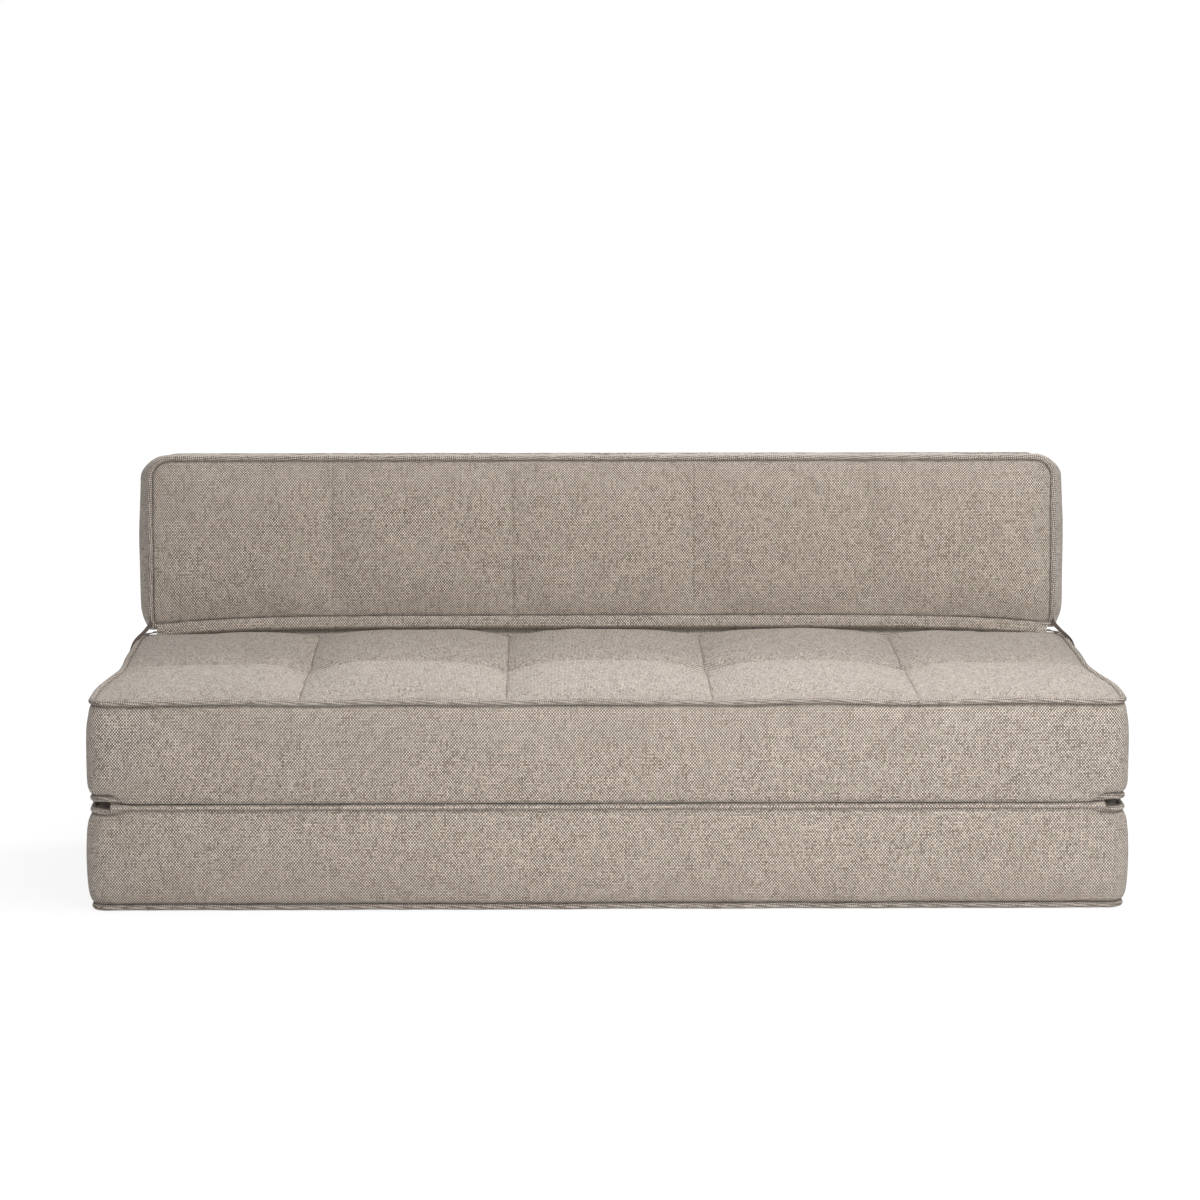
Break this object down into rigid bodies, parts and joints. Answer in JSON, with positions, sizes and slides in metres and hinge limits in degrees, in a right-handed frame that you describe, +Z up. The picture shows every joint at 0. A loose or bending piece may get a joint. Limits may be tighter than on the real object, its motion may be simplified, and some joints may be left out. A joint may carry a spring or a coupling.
{
  "type": "armless sofa bed",
  "caption": "Armless sofa bed of piped foam blocks: the quilted seat flips forward off the base and the back folds flat, making a bed on the floor.",
  "frame": {"origin": "middle of the base block's underside, on the floor", "axes": "+Z up, -Y towards the front, +X along the width to the right seen from the front"},
  "size_m": [1.9282, 0.9977, 0.7527],
  "materials": {
    "greige_cloth": "coarse plain-woven greige upholstery cloth, matt",
    "piping_cloth": "the same cloth sewn round a cord",
    "underside_lining": "dark spun-bonded lining cloth",
    "foam": "open-cell polyurethane foam",
    "fleece_wadding": "white polyester fibre wadding",
    "strap_webbing": "narrow woven webbing",
    "zip_tape": "woven zip tape with a closed coil",
    "zip_slider_metal": "plated die-cast slider without a pull"
  },
  "bodies": {
    "base": {"base_top_panel": "greige_cloth", "base_border": "greige_cloth", "base_bottom_panel": "underside_lining", "base_foam_core": "foam", "base_top_piping": "piping_cloth", "base_bottom_piping": "piping_cloth", "base_zip": "zip_tape"},
    "seat": {"seat_top_panel": "greige_cloth", "seat_wadding": "fleece_wadding", "seat_border": "greige_cloth", "seat_bottom_panel": "greige_cloth", "seat_foam_core": "foam", "seat_top_piping": "piping_cloth", "seat_bottom_piping": "piping_cloth", "seat_zip": "zip_tape", "front_hinge_band": "greige_cloth"},
    "back": {"back_front_panel": "greige_cloth", "back_wadding": "fleece_wadding", "back_border": "greige_cloth", "back_rear_panel": "greige_cloth", "back_foam_core": "foam", "back_front_piping": "piping_cloth", "back_rear_piping": "piping_cloth", "back_zip": "zip_tape", "rear_hinge_band": "greige_cloth", "left_corner_tab": "strap_webbing", "right_corner_tab": "strap_webbing", "left_corner_tie": "strap_webbing", "right_corner_tie": "strap_webbing"},
    "base_slider": {"base_zip_slider": "zip_slider_metal"},
    "seat_slider": {"seat_zip_slider": "zip_slider_metal"},
    "back_slider": {"back_zip_slider": "zip_slider_metal"}
  },
  "joints": [
    {"name": "seat_unfold", "type": "hinge", "parent": "base", "child": "seat", "pos_m": [0, -0.3875, 0.19855], "axis": [1, 0, 0], "range_deg": [0, 180], "deforming": ["front_hinge_band"]},
    {"name": "back_fold", "type": "hinge", "parent": "seat", "child": "back", "pos_m": [0, 0.38, 0.4063], "axis": [-1, 0, 0], "range_deg": [-95, 85], "deforming": ["rear_hinge_band", "left_corner_tab", "right_corner_tab", "left_corner_tie", "right_corner_tie"]},
    {"name": "base_zip_slide", "type": "slide", "parent": "base", "child": "base_slider", "axis": [1, 0, 0], "range_m": [0, 1.57]},
    {"name": "seat_zip_slide", "type": "slide", "parent": "seat", "child": "seat_slider", "axis": [1, 0, 0], "range_m": [0, 1.57]},
    {"name": "back_zip_slide", "type": "slide", "parent": "back", "child": "back_slider", "axis": [1, 0, 0], "range_m": [0, 1.57]}
  ]
}
